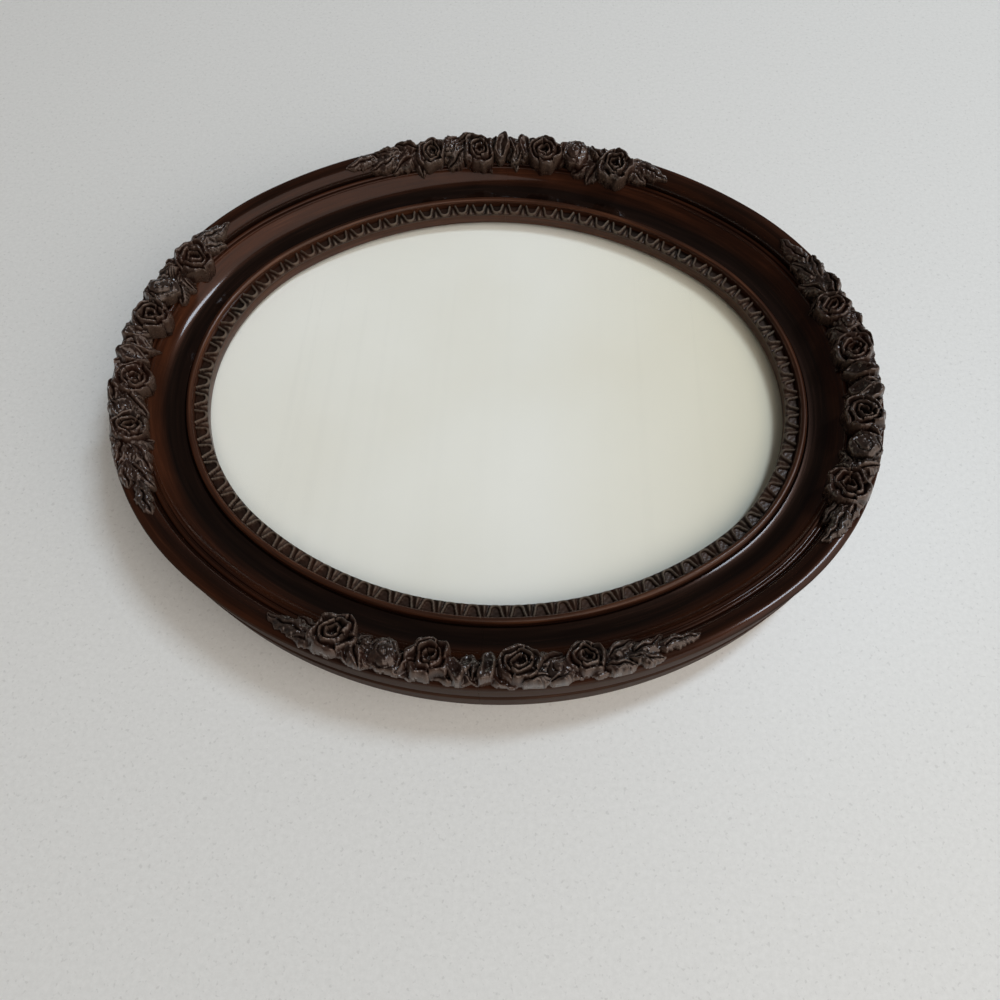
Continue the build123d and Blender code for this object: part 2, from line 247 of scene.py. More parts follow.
def quarter_lengths(name, points):
    """Four lengths of one section, end to end round the oval, with closed ends."""
    bm = bmesh.new()
    section = standing_section(bm, points, JOINT_GAP)
    last = spin_round(bm, section, JOINT_GAP, 90 - JOINT_GAP)
    for ring in (section, last):
        bmesh.ops.contextual_create(bm, geom=only(bmesh.types.BMEdge, ring))
    for flip in ((-1, 1, 1), (1, -1, 1)):
        copied = bmesh.ops.duplicate(bm, geom=bm.verts[:] + bm.edges[:] + bm.faces[:])
        bmesh.ops.scale(bm, vec=flip, verts=only(bmesh.types.BMVert, copied["geom"]))
    return finished(bm, name, WOOD_CREASE)


def bend_sheet(piece, place_of):
    """Moves each vertex of a flat unit sheet to its place and paints how far its surface is rubbed, with
    painted shade in its hollows and painted highlight on its rims.
    """
    places = vertex_places(piece.data)
    raised = places[:, 2] > 0.5
    moved, painted = place_of((places[:, 0] + 1) / 2, (places[:, 1] + 1) / 2, raised)
    piece.data.vertices.foreach_set("co", moved.ravel())
    paint(piece, "rub_shade_and_highlight", painted)


def faced_outwards(piece, ease, sharp_angle):
    """Merges a bent sheet's seams, eases its surface a little and turns its faces outwards."""
    bm = bmesh.new()
    bm.from_mesh(piece.data)
    bmesh.ops.remove_doubles(bm, verts=bm.verts, dist=SHEET_SEAM)
    if ease:
        bmesh.ops.smooth_vert(bm, verts=bm.verts, factor=ease,
                              use_axis_x=True, use_axis_y=True, use_axis_z=True)
    bmesh.ops.recalc_face_normals(bm, faces=bm.faces)
    bm.to_mesh(piece.data)
    bm.free()
    piece.data.set_sharp_from_angle(angle=math.radians(sharp_angle))


def tongue_relief(run, reach):
    """Height over the strip of the tongue run at a run along the quarter and a reach."""
    pitch = quarter_run(STRIP_WIDTH / 2) / TONGUES_PER_QUARTER
    bow_reach, bow_radius, leg_spread, rim_half = 2.5, 2.1, 0.32, 0.72
    rim_front, rim_gain, pit_front, pit_gain = 1.35, 0.25, 0.2, 1.6
    spine_height, spine_width, dart_foot, dart_height, dart_end = 0.35, 0.5, 0.1, 1.05, 5.4
    side = np.abs((run / pitch) % 1.0 - 0.5) * pitch
    on_legs = reach > bow_reach
    half = bow_radius + leg_spread * np.maximum(reach - bow_reach, 0)
    from_bow = np.hypot(side, reach - bow_reach)
    off_line = np.where(on_legs, np.abs(side - half), np.abs(from_bow - bow_radius))
    inside = np.where(on_legs, side < half, from_bow < bow_radius)
    back = np.clip((reach - 1.2) / 3.6, 0, 1)
    rim = np.clip(1 - (off_line / rim_half) ** 2, 0, 1) ** 0.7 * (rim_front + rim_gain * back)
    pit = np.where(inside, -pit_front - pit_gain * back ** 1.1, 0.0)
    spine = np.where(inside, spine_height * np.exp(-(side / spine_width) ** 2) * (1 - back), 0.0)
    point = np.exp(-((pitch / 2 - side) / (0.95 - 0.12 * reach)) ** 2)
    faded = np.clip((dart_end - reach) / 3.0, 0, 1)
    dart = np.where(inside, 0.0, dart_foot + dart_height * point * faded)
    return np.maximum(rim, pit + spine + dart)


def tongue_run_piece():
    """The run of lamb's tongues: a sheet bent round the oval, its top pressed into relief."""
    rows, columns, margin, sheet_top, nose_run = 20, 24 * 4 * TONGUES_PER_QUARTER, 0.12, STRIP_Z + 0.9, 0.7
    top = [(margin + (STRIP_WIDTH - 2 * margin) * index / rows, sheet_top) for index in range(rows + 1)]
    seat = STRIP_Z + 0.02
    front = [(STRIP_WIDTH, seat), (0.15, seat), (0.05, STRIP_Z + 0.15), (0.0, STRIP_Z + 0.5)]
    points = np.array(front + top + [(STRIP_WIDTH, STRIP_Z + 0.6), (STRIP_WIDTH, seat)])
    # Relief below which the tongue run takes painted shade, and relief of fullest wear and painted highlight
    pit_shade_start, full_rub_and_highlight = 0.9, 1.6
    headings, runs = heading_table(STRIP_WIDTH / 2)
    start = np.interp(0.0, headings, runs)
    full = np.interp(360.0, headings, runs) - start
    bm = bmesh.new()
    bmesh.ops.create_grid(bm, x_segments=columns, y_segments=len(points) - 1, size=1.0)
    piece = finished(bm, "tongue_run_dressed", TONGUE_CREASE)

    def place_of(share_along, share_across, _raised):
        run = share_along * full
        row = np.rint(share_across * (len(points) - 1)).astype(int)
        reach, height = points[row, 0], points[row, 1].copy()
        on_top = (row >= len(front)) & (row < len(front) + len(top))
        relief = tongue_relief(run, reach)
        nose = np.clip(reach / nose_run, 0, 1) ** 0.5
        uneven = 0.05 * np.sin(run * 1.9) * np.sin(reach * 3.1 + run * 0.37)
        height += np.where(on_top, (relief + uneven) * nose, 0.0)
        # Pits below the start darken as painted shade; higher relief lightens as wear and painted highlight
        # on the rims
        rubbed = np.where(relief < pit_shade_start, relief - pit_shade_start, relief / full_rub_and_highlight)
        rub_shade_and_highlight = np.where(on_top, np.clip(rubbed, -1, 1), -0.1)
        return oval_places(np.interp(start + run, runs, headings), reach, height), rub_shade_and_highlight

    bend_sheet(piece, place_of)
    faced_outwards(piece, 0.0, TONGUE_CREASE)
    return piece


# Rose garlands

# Height off the band line, over the ridge, that no rose rises above, and how fast it falls outwards
CASTING_TOP = 8.75
TOP_FALL = 0.3

# Height where a motif isn't, under everything else
NOWHERE = -99.0

# The moulding's front with its steps bridged: distances out from the ridge and heights off the band line
BRIDGE_OUT = (-14, -7, -3.5, -0.5, 1.5, 4, 8)
BRIDGE_OFF = (-6.6, -3.9, -1.6, 0.2, 0.9, 1.1, 0.6)

# The motifs of a casting are placed by their run from its middle and their distance out from the ridge.
# Leaves: stalk, tip, width, height, how far one half folds up, veins
LEAVES = (
    ((-60.0, 3.2), (-79.0, 1.8), 7.5, 2.4, 0.3, 6),
    ((-58.0, 1.0), (-70.0, -3.4), 6.0, 2.4, 0.4, 6),
    ((-52.0, 2.0), (-67.0, 6.6), 6.0, 2.8, 0.3, 6),
    ((-44.0, -1.0), (-41.5, -9.0), 7.5, 3.2, 0.4, 6),
    ((-45.5, 1.0), (-39.5, 7.8), 7.0, 4.6, -0.4, 6),
    ((-40.0, -2.0), (-32.0, -7.0), 7.0, 3.4, -0.4, 6),
    ((-28.5, 6.5), (-23.5, -5.0), 6.4, 4.4, 0.4, 6),
    ((-2.0, 6.5), (-5.5, -7.5), 5.5, 3.4, 0.5, 6),
    ((19.5, 6.8), (8.0, -8.4), 6.5, 3.4, 0.5, 7),
    ((14.0, 7.4), (25.5, 4.5), 6.5, 4.6, 0.3, 6),
    ((20.0, 1.0), (30.0, -6.0), 8.5, 4.4, -0.5, 6),
    ((24.0, 7.0), (33.0, 2.5), 6.5, 4.0, 0.3, 6),
    ((44.0, 1.5), (42.0, -8.4), 7.0, 3.4, -0.4, 6),
    ((43.0, 4.0), (54.0, 7.0), 6.5, 3.8, 0.4, 6),
    ((45.0, 0.5), (57.0, -4.6), 7.5, 3.6, -0.3, 6),
    ((52.0, 3.5), (64.0, 6.2), 6.4, 3.0, 0.3, 6),
    ((54.0, 1.5), (67.0, -2.2), 6.6, 3.0, -0.3, 6),
    ((62.0, 2.4), (79.0, 2.4), 6.4, 2.3, 0.2, 8),
)
# Roses: centre, radius, height, turn in degrees, outer petals, how far they lean outwards
ROSES = (
    ((-53.0, -0.6), 8.6, 7.8, 20, 5, 0.0),
    ((-18.0, -0.2), 8.2, 8.1, 160, 5, 0.0),
    ((13.8, -0.4), 8.0, 7.2, 300, 4, 0.09),
    ((37.2, 0.2), 7.2, 6.6, 250, 4, 0.09),
)
# Buds: centre, radius, height, turn in degrees
BUDS = (
    ((-33.0, 1.6), 6.0, 6.6, 60),
    ((27.6, 2.4), 4.4, 5.6, 10),
)
# Upright petals: centre, length, width, height, turn in degrees
PETALS = (
    ((-8.4, 2.6), 11.0, 5.6, 5.0, 72),
    ((-4.6, -1.2), 9.5, 5.0, 4.2, 104),
    ((2.8, 1.0), 13.5, 6.4, 6.2, 95),
)


def band_profile():
    """Moulding front under a garland, as distance out from the ridge along the band and height off it."""
    cove = [(COVE_REACH, QUIRK_Z), (13.0, 18.6), (17.8, 21.2), (22.1, 24.2)]
    steps = [(22.6, 25.0), (ASTRAGAL_END, 25.3), (26.8, 28.8)]
    band = [(28.5, 30.2), (30.75, 31.1), (33.0, 31.5), (EDGE_REACH, 31.2)]
    from_ridge = [(reach - RIDGE_REACH, height - RIDGE_Z) for reach, height in cove + steps + band]
    cos, sin = math.cos(BAND_LEAN), math.sin(BAND_LEAN)
    table = np.array([(x * cos + z * sin, z * cos - x * sin) for x, z in from_ridge])
    return table[:, 0], table[:, 1]


BAND_OUT, BAND_OFF = band_profile()


def ground(out):
    """Height off the band line of the moulding's front."""
    return np.interp(out, BAND_OUT, BAND_OFF)


def soft_ground(out):
    """The moulding's front with its steps bridged, as a thin cast leaf lies over them."""
    return np.maximum(ground(out), np.interp(out, BRIDGE_OUT, BRIDGE_OFF))


def local(run, out, centre, turn):
    """Coordinates about a motif's centre, turned with it."""
    cos, sin = math.cos(math.radians(turn)), math.sin(math.radians(turn))
    x, y = run - centre[0], out - centre[1]
    return x * cos + y * sin, y * cos - x * sin


def whorl_field(share, angle, petals, rim, rim_height, hollow, phase):
    """Height of one ring of overlapping petals with rolled rims and a hollow inside."""
    overlap, nick, nick_width, hollow_run, roll_run = 0.12, 0.14, 0.06, 0.32, 0.22
    lap = (angle / (2 * math.pi) * petals + phase) % 1.0
    wave = 0.05 * np.sin(2 * angle + 9 * phase) + 0.035 * np.sin(5 * angle + 23 * phase)
    rim_share = rim * (1.05 - overlap * lap + wave)
    top = rim_height * (1 - overlap * (1 - lap) - nick * np.exp(-(lap / nick_width) ** 2) + 0.8 * wave)
    inside = (rim_share - share) / rim
    inner = top - hollow * np.clip(inside / hollow_run, 0, 1) ** 1.5
    outer = top - rim_height * 0.9 * (np.clip(-inside, 0, 2) / (roll_run / rim)) ** 2.2
    return np.where(inside > 0, inner, outer)


def rose_field(run, out, centre, radius, height, turn, petals, tilt):
    """Height of an open rose: thick rolled petals in three rings round a deep heart."""
    x, y = local(run, out, centre, turn)
    angle = np.arctan2(y, x)
    share = np.hypot(x, y) / radius
    own = 0.013 * turn
    # Outer ring, middle ring and heart: petals, rim's radius, rim's height, hollow's depth and phase
    rings = ((petals, 0.84, 0.86, 0.56, 0.1 + own), (3, 0.53, 0.97, 0.58, 0.6 + 2 * own),
             (2, 0.25, 0.90, 0.60, 0.3 + 3 * own))
    whorls = [whorl_field(share, angle, count, rim, top * height, hollow * height, phase)
              for count, rim, top, hollow, phase in rings]
    field = np.maximum.reduce(whorls) + tilt * (out - centre[1])
    return np.where(share < 1.0, field, NOWHERE)


def bud_field(run, out, centre, radius, height, turn):
    """Height of a closed bud wrapped in its petals."""
    length, flatness, wraps, groove_width, groove_depth = 1.12, 0.72, 1.9, 0.13, 1.1
    x, y = local(run, out, centre, turn)
    share = np.hypot(x / length, y) / radius
    angle = np.arctan2(y, x)
    dome = height * np.sqrt(np.clip(1 - flatness * share ** 2, 0, 1))
    wrap = (share * wraps - angle / (2 * math.pi)) % 1.0
    groove = np.exp(-((wrap - 0.5) / groove_width) ** 2) * (0.35 + 0.9 * share)
    return np.where(share < 1.0, dome - groove_depth * groove, NOWHERE)


def leaf_field(run, out, base, tip, width, height, curl, veins):
    """Height of a pointed leaf from its stalk to its tip, with midrib, veins and one half folded up."""
    scallop, blade, rib_width, rib_depth = 0.07, 0.35, 0.13, 0.3
    vein_sweep, vein_width, vein_depth = 0.28, 0.14, 0.28
    length = math.dist(base, tip)
    turn = math.degrees(math.atan2(tip[1] - base[1], tip[0] - base[0]))
    x, y = local(run, out, base, turn)
    share = x / length
    inside = (share > 0) & (share < 1)
    safe = np.clip(share, 0.001, 0.999)
    half = width / 2 * np.sin(math.pi * safe ** 0.8) ** 0.75
    half = half * (1 + scallop * np.sin(safe * 2 * math.pi * veins))
    across = y / np.maximum(half, 0.05)
    span = np.abs(across)
    arch = 0.25 + 0.75 * np.sin(math.pi * np.clip(span, 0, 1) ** 0.75) ** 0.8
    fold = 1 + curl * across
    rise = height * (0.35 + 0.65 * np.sin(math.pi * safe ** 0.65))
    vein = np.exp(-((((safe - vein_sweep * span) * veins) % 1.0 - 0.5) / vein_width) ** 2)
    rib = np.exp(-(across / rib_width) ** 2)
    field = soft_ground(out) + blade + rise * arch * fold - vein_depth * vein * span - rib_depth * rib
    return np.where(inside & (span < 1.0), field, NOWHERE)


def petal_field(run, out, centre, length, width, height, turn):
    """Height of an upright petal with a raised rim and a hollow face."""
    rim_share, rim_fall, face_height, lean = 0.72, 0.4, 0.62, 0.12
    x, y = local(run, out, centre, turn)
    share = np.hypot(x / (length / 2), y / (width / 2))
    rim = np.where(share < rim_share, (share / rim_share) ** 2, 1 - ((share - rim_share) / rim_fall) ** 2)
    field = soft_ground(out) + height * (face_height + (1 - face_height) * rim) + lean * x
    return np.where(share < 1.0, field, NOWHERE)


def bed_field(run, out):
    """Height of the leafy bed that joins the motifs, with a ragged outline."""
    inner_line, outer_line, half_length = -3.2, 7.6, 63
    ragged = 0.6 * np.sin(run * 0.43) + 0.4 * np.sin(run * 1.13 + 2)
    inner = inner_line + ragged + 0.022 * np.maximum(np.abs(run) - 40, 0) ** 1.2
    outer = outer_line - 0.4 * np.abs(np.sin(run * 0.31)) - 0.02 * np.maximum(np.abs(run) - 48, 0) ** 1.35
    on_bed = (np.abs(run) < half_length + 3 * np.sin(out * 0.9)) & (out > inner) & (out < outer)
    fold = 1 - np.abs(np.sin(run * 0.36 + 0.9 * np.sin(out * 0.55) + out * 0.22))
    cross = 1 - np.abs(np.sin(out * 0.62 - run * 0.17 + 0.6 * np.sin(run * 0.5)))
    lump = 0.9 + 1.5 * fold ** 1.5 + 0.9 * cross ** 1.6
    return np.where(on_bed, soft_ground(out) + lump, NOWHERE)


def casting_field(run, out, own):
    """Height of one casting: the highest of its motifs at each place, all warped a little in its own way."""
    drift = np.sin(0.31 * run + 1.7 * own) * np.sin(0.47 * out + own)
    flow = np.sin(0.83 * run - 0.5 * out + 2.3 * own)
    sway = 0.5 * np.sin(0.37 * run + 2.9 * own) + 0.3 * np.sin(1.1 * run + 0.6 * out)
    run, out = run + 0.7 * drift + 0.35 * flow, out + sway
    fields = [bed_field(run, out)]
    kinds = ((leaf_field, LEAVES), (rose_field, ROSES), (bud_field, BUDS), (petal_field, PETALS))
    for field, motifs in kinds:
        fields += [field(run, out, *motif) for motif in motifs]
    return np.minimum(np.maximum.reduce(fields), CASTING_TOP - TOP_FALL * out)


def rough(run, out):
    """Small unevenness of the cast surface."""
    slow = np.sin(run * 1.7 + 1.3 * np.sin(out * 0.9)) * np.sin(out * 2.1 + 0.8 * np.sin(run * 0.7))
    fast = np.sin(run * 4.3 + out * 2.2) * np.sin(out * 5.1 - run * 1.6)
    return 0.20 * slow + 0.08 * fast


def garland_piece(side, centre_heading):
    """One casting over the ridge, centred on a heading: a bent sheet raised into roses and leaves."""
    half_run, inner, outer, spacing = 80.0, -10.5, 8.0, 0.25
    thinnest, under, probe = 0.08, 0.04, 0.55
    cos, sin = math.cos(BAND_LEAN), math.sin(BAND_LEAN)
    own = math.radians(centre_heading)
    headings, runs = heading_table(RIDGE_REACH)
    centre = np.interp(centre_heading, headings, runs)

    def sheet_place(share_along, share_across):
        return (2 * share_along - 1) * half_run, inner + share_across * (outer - inner)

    bm = bmesh.new()
    bmesh.ops.create_grid(bm, x_segments=round(2 * half_run / spacing),
                          y_segments=round((outer - inner) / spacing), size=1.0)
    flat = np.array([vert.co for vert in bm.verts])
    run, out = sheet_place((flat[:, 0] + 1) / 2, (flat[:, 1] + 1) / 2)
    shown = casting_field(run, out, own) > ground(out) + (under + thinnest)
    bm.verts.index_update()
    bare = [face for face in bm.faces if not all(shown[vert.index] for vert in face.verts)]
    bmesh.ops.delete(bm, geom=bare, context="FACES")
    raised = bmesh.ops.extrude_face_region(bm, geom=bm.faces[:], use_keep_orig=True)
    bmesh.ops.translate(bm, vec=(0, 0, 1), verts=only(bmesh.types.BMVert, raised["geom"]))
    piece = finished(bm, f"garland_{side}_dressed", CASTING_CREASE)

    def height_at(run, out):
        return np.maximum(casting_field(run, out, own), ground(out))

    def place_of(share_along, share_across, raised):
        run, out = sheet_place(share_along, share_across)
        seat = ground(out) + under
        height = np.maximum(casting_field(run, out, own), seat + thinnest)
        steps = ((probe, 0), (-probe, 0), (0, probe), (0, -probe))
        around = sum(height_at(run + dx, out + dy) for dx, dy in steps) / len(steps)
        # Places higher than those round them turn lighter and lower ones darker: wear and painted highlight
        # on rims, painted shade in hollows
        rub_shade_and_highlight = np.clip((height - around) * 1.6, -1, 1)
        off = np.where(raised, height + rough(run, out) * np.clip(height - seat, 0, 1), seat)
        reach = RIDGE_REACH + out * cos - off * sin
        level = RIDGE_Z + out * sin + off * cos
        return oval_places(np.interp(centre + run, runs, headings), reach, level), rub_shade_and_highlight

    bend_sheet(piece, place_of)
    faced_outwards(piece, 0.3, CASTING_CREASE)
    return piece


# Hardware of the back

# Pivots and hinges, as headings and reaches, and the levels and sizes of the hardware
BUTTON_HEADINGS = (ARC_JOINT, 180 - ARC_JOINT, 180 + ARC_JOINT, 360 - ARC_JOINT)
BUTTON_REACH = 11.5
BUTTON_Z = (2.8, 3.8)
HANGER_HEADINGS = {"right": 38.0, "left": 142.0}
HANGER_REACH = 6.0
HANGER_SCREW_REACH = 16.0
STRAP_THICKNESS = 0.8
KNUCKLE_RADIUS = 1.85
WIRE_RADIUS = 1.0
HEAD_GAP = 0.1


def set_at(bm, heading, reach, height):
    """Moves millimetre geometry, drawn with X outwards, to its place on the ledge and into metres."""
    turn = Matrix.Rotation(math.radians(heading), 4, "Z")
    place = Matrix.Translation(oval_point(heading, reach, height)) @ turn @ Matrix.Scale(MM, 4)
    bmesh.ops.transform(bm, matrix=place, verts=bm.verts)


def plate_between(bm, outline, thickness):
    """Flat plate from an outline of points in order, raised by its thickness, given as a vector."""
    verts = [bm.verts.new(point) for point in outline]
    edges = [bm.edges.new(pair) for pair in zip(verts, verts[1:] + verts[:1])]
    face = bmesh.ops.contextual_create(bm, geom=edges)["faces"]
    raised = bmesh.ops.extrude_face_region(bm, geom=face, use_keep_orig=True)
    bmesh.ops.translate(bm, vec=thickness, verts=only(bmesh.types.BMVert, raised["geom"]))
    bmesh.ops.recalc_face_normals(bm, faces=bm.faces)


def soften_edges(bm, size):
    """Rounds every sharp edge a little."""
    sharp = math.radians(PLATE_CREASE)
    edges = [edge for edge in bm.edges if edge.is_manifold and edge.calc_face_angle() > sharp]
    bmesh.ops.bevel(bm, geom=edges, offset=size, segments=2, profile=0.5, affect="EDGES", material=-1,
                    clamp_overlap=True)


def turn_button_piece(index):
    """Stamped strip with a round tip, a square tail and soft edges."""
    half_width, tip, tail, corner = 4.0, -11.5, 4.5, 0.6
    outline = [(tail, half_width - corner), (tail - corner, half_width)]
    outline += round_over((tip, 0.0), (half_width, half_width), 90, 270, 24)
    outline += [(tail - corner, -half_width), (tail, corner - half_width)]
    bm = bmesh.new()
    plate_between(bm, [(x, y, 0) for x, y in outline], (0, 0, BUTTON_Z[1] - BUTTON_Z[0]))
    soften_edges(bm, 0.16)
    set_at(bm, BUTTON_HEADINGS[index - 1], BUTTON_REACH, BUTTON_Z[0])
    return finished(bm, f"turn_button_{index}_dressed", PLATE_CREASE)


def screw_sheet(bm, heading, reach, height, turn):
    """Dome-headed screw with a cross recess, its head downwards, on its axis at a heading and reach."""
    head_radius, dome_edge, dome_height, flatness = 2.85, 2.7, 1.24, 0.86
    slot_half, slot_wall, slot_reach, slot_end, slot_depth = 0.42, 0.14, 1.75, 0.3, 0.7
    rows = [(radius, None) for radius in np.linspace(0.0, dome_edge, 46)]
    rows += [(2.84, -0.42), (head_radius, -0.12), (2.78, 0.0), (1.35, 0.02), (1.3, 0.6), (0.0, 1.0)]
    made = bmesh.ops.create_grid(bm, x_segments=160, y_segments=len(rows) - 1, size=1.0)["verts"]
    for vert in made:
        around = math.pi * (vert.co.x + 1)
        radius, level = rows[round((vert.co.y + 1) / 2 * (len(rows) - 1))]
        x, y = radius * math.cos(around), radius * math.sin(around)
        if level is None:
            in_slot = min(max((slot_half - min(abs(x), abs(y))) / slot_wall, 0.0), 1.0)
            in_reach = min(max((slot_reach - radius) / slot_end, 0.0), 1.0)
            recess = slot_depth * in_slot * in_reach * (1 - 0.35 * radius / slot_reach)
            level = recess - dome_height * math.sqrt(1 - flatness * (radius / head_radius) ** 2)
        vert.co = (x, y, level)
    bmesh.ops.remove_doubles(bm, verts=made, dist=HARDWARE_SEAM)
    turned = Matrix.Rotation(math.radians(heading + turn), 4, "Z") @ Matrix.Scale(MM, 4)
    place = Matrix.Translation(oval_point(heading, reach, height)) @ turned
    bmesh.ops.transform(bm, matrix=place, verts=[vert for vert in made if vert.is_valid])


def screws_piece(name, headings, reach, height):
    """Several alike screws as one piece, each driven home at its own turn."""
    first_turn, further_turn = 17, 31
    bm = bmesh.new()
    for order, heading in enumerate(headings):
        screw_sheet(bm, heading, reach, height, first_turn + further_turn * order)
    return finished(bm, name, SCREW_CREASE)


def strap_piece(side):
    """Hanger strap, its end rolled into a knuckle round the ring's bar."""
    length, half_width, lap, corner, snug = 16.0, 5.0, 0.6, 3.0, 0.1
    roll_start, roll_end, roll_steps = 90, 395, 26
    middle = (0.0, -KNUCKLE_RADIUS)
    bore = KNUCKLE_RADIUS - STRAP_THICKNESS + 0.01
    outer = round_over(middle, (KNUCKLE_RADIUS, KNUCKLE_RADIUS), roll_start, roll_end, roll_steps)
    inner = round_over(middle, (bore, bore), roll_end, roll_start, roll_steps)
    outline = [(length, 0.0)] + outer + inner[:-1] + [(lap, -STRAP_THICKNESS), (length, -STRAP_THICKNESS)]
    bm = bmesh.new()
    plate_between(bm, [(x, -half_width, z) for x, z in outline], (0, 2 * half_width, 0))
    at_end = [edge for edge in bm.edges if all(vert.co.x > length - snug for vert in edge.verts)]
    corners = [edge for edge in at_end if abs(edge.verts[0].co.y - edge.verts[1].co.y) < snug]
    bmesh.ops.bevel(bm, geom=corners, offset=corner, segments=8, profile=0.5, affect="EDGES", material=-1,
                    clamp_overlap=False)
    set_at(bm, HANGER_HEADINGS[side], HANGER_REACH, LEDGE_Z)
    return finished(bm, f"hanger_plate_{side}_dressed", PLATE_CREASE)


def ring_path():
    """Centre line of the D ring in its own plane, with the way outwards at each point."""
    half, depth, corner, stretches = 7.0, 14.0, 1.4, 6
    leg = depth - half - corner

    def bend(x, y, radius, turns):
        ways = [facing(turn) for turn in turns]
        return [(x + radius * way_x, y + radius * way_y, way_x, way_y) for way_x, way_y in ways]

    bar = range(-stretches, stretches + 1)
    points = [(0.0, (half - corner) * index / stretches, 1.0, 0.0) for index in bar]
    points += bend(-corner, half - corner, corner, range(10, 90, 10))
    points += [(-corner - leg * index / stretches, half, 0.0, 1.0) for index in range(stretches + 1)]
    points += bend(-half, 0.0, half, range(95, 270, 5))
    points += [(leg * index / stretches - half, -half, 0.0, -1.0) for index in range(stretches + 1)]
    points += bend(-corner, corner - half, corner, range(280, 360, 10))
    return points + points[:1]


def ring_piece(side):
    """D ring bent from round wire, its bar in the strap's knuckle."""
    bm = bmesh.new()
    path = ring_path()
    made = bmesh.ops.create_grid(bm, x_segments=len(path) - 1, y_segments=16, size=1.0)["verts"]
    for vert in made:
        x, y, way_x, way_y = path[round((vert.co.x + 1) / 2 * (len(path) - 1))]
        turn = math.pi * (vert.co.y + 1)
        off = WIRE_RADIUS * math.cos(turn)
        vert.co = (x + off * way_x, y + off * way_y, WIRE_RADIUS * math.sin(turn))
    bmesh.ops.remove_doubles(bm, verts=bm.verts, dist=HARDWARE_SEAM)
    set_at(bm, HANGER_HEADINGS[side], HANGER_REACH, LEDGE_Z - KNUCKLE_RADIUS)
    return finished(bm, f"hanger_ring_{side}_dressed", WIRE_CREASE)


# Materials

def new_material(name):
    """Empty node material; returns the material, its tree of nodes and its shader."""
    material = bpy.data.materials.new(name)
    material.use_nodes = True
    tree = material.node_tree
    return material, tree, tree.nodes["Principled BSDF"]


def set_levels(node, levels):
    """Sets constants of a node by the names of its sockets."""
    for socket, level in levels.items():
        node.inputs[socket].default_value = level


def feed(tree, socket, value):
    """Links an output to a socket, or sets it to a number or to a colour of three numbers."""
    if isinstance(value, bpy.types.NodeSocket):
        tree.links.new(value, socket)
    elif isinstance(value, tuple):
        socket.default_value = (*value, 1)
    else:
        socket.default_value = value


def tint(tree, shader, colour, roughness):
    """Gives a shader its colour and its roughness, each a constant or an output."""
    feed(tree, shader.inputs["Base Color"], colour)
    feed(tree, shader.inputs["Roughness"], roughness)


def ramp(tree, source, *stops):
    """Colour ramp from a value, with stops of place and colour."""
    node = tree.nodes.new("ShaderNodeValToRGB")
    while len(node.color_ramp.elements) < len(stops):
        node.color_ramp.elements.new(0.5)
    for element, (place, colour) in zip(node.color_ramp.elements, stops):
        element.position = place
        element.color = (*colour, 1)
    tree.links.new(source, node.inputs[0])
    return node.outputs[0]


def noise(tree, vector, scale, detail, roughness=0.55):
    """Noise on a vector; returns its factor."""
    node = tree.nodes.new("ShaderNodeTexNoise")
    set_levels(node, {"Scale": scale, "Detail": detail, "Roughness": roughness})
    tree.links.new(vector, node.inputs["Vector"])
    return node.outputs[0]


def worked_out(tree, operation, *values, clamp=False):
    """Result of a sum or product of numbers and outputs."""
    node = tree.nodes.new("ShaderNodeMath")
    node.operation = operation
    node.use_clamp = clamp
    for socket, value in zip(node.inputs, values):
        feed(tree, socket, value)
    return node.outputs[0]


def mix_colour(tree, factor, first, second):
    """Mix of two colours or colour outputs by a factor."""
    node = tree.nodes.new("ShaderNodeMix")
    node.data_type = "RGBA"
    for socket, value in ((node.inputs["Factor"], factor), (node.inputs[6], first), (node.inputs[7], second)):
        feed(tree, socket, value)
    return node.outputs[2]


def ranged(tree, source, low, high, out_low, out_high):
    """Value mapped from one range to another, clamped."""
    node = tree.nodes.new("ShaderNodeMapRange")
    set_levels(node, {"From Min": low, "From Max": high, "To Min": out_low, "To Max": out_high})
    tree.links.new(source, node.inputs["Value"])
    return node.outputs[0]


def add_bump(tree, shader, height, strength, distance):
    """Bump from a height, in metres at full strength."""
    node = tree.nodes.new("ShaderNodeBump")
    set_levels(node, {"Strength": strength, "Distance": distance})
    tree.links.new(height, node.inputs["Height"])
    tree.links.new(node.outputs[0], shader.inputs["Normal"])


def object_place(tree):
    """Object coordinates."""
    return tree.nodes.new("ShaderNodeTexCoord").outputs["Object"]


def object_axes(tree):
    """The three object coordinates, apart."""
    split = tree.nodes.new("ShaderNodeSeparateXYZ")
    tree.links.new(object_place(tree), split.inputs[0])
    return split.outputs


def painted_value(tree, name):
    """The number kept per vertex under a name."""
    node = tree.nodes.new("ShaderNodeAttribute")
    node.attribute_name = name
    return node.outputs["Fac"]


def along_the_run(tree, stretch):
    """Vector that changes slowly round the oval and quickly across the section."""
    axes = object_axes(tree)
    across = worked_out(tree, "MULTIPLY", painted_value(tree, "across"), MM * stretch)
    joined = tree.nodes.new("ShaderNodeCombineXYZ")
    for socket, value in zip(joined.inputs, (axes[0], axes[1], across)):
        tree.links.new(value, socket)
    return joined.outputs[0]


# Depths of bump on wood, metal and card, in metres
WOOD_BUMP = 0.0002
METAL_BUMP = 0.0001
CARD_BUMP = 0.00005

# Lengths along the moulding's section where its front starts and its side starts, in millimetres
FRONT_START = 31.0
SIDE_START = 76.4

